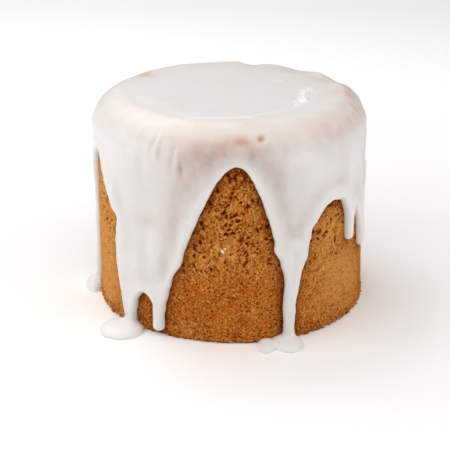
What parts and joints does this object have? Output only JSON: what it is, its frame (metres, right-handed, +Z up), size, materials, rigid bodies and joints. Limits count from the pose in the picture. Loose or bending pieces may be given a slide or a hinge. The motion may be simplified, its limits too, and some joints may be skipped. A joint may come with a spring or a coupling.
{
  "type": "lemon chiffon cake",
  "caption": "Tall round lemon chiffon cake with a browned porous side and white poured icing that covers the top and runs down in drips to small pools.",
  "frame": {"origin": "middle of the flat base of the sponge, on the surface the cake stands on", "axes": "+Z up; -Y is the front of the picture, with the tall gap between the drips; +X is to the right of that view"},
  "size_m": [0.1612, 0.1799, 0.1189],
  "materials": {
    "sponge": "dull browned crust, full of small pores",
    "icing": "soft satin sugar icing, a little translucent where thin"
  },
  "bodies": {
    "root": {"sponge": "sponge", "icing": "icing"}
  },
  "joints": []
}
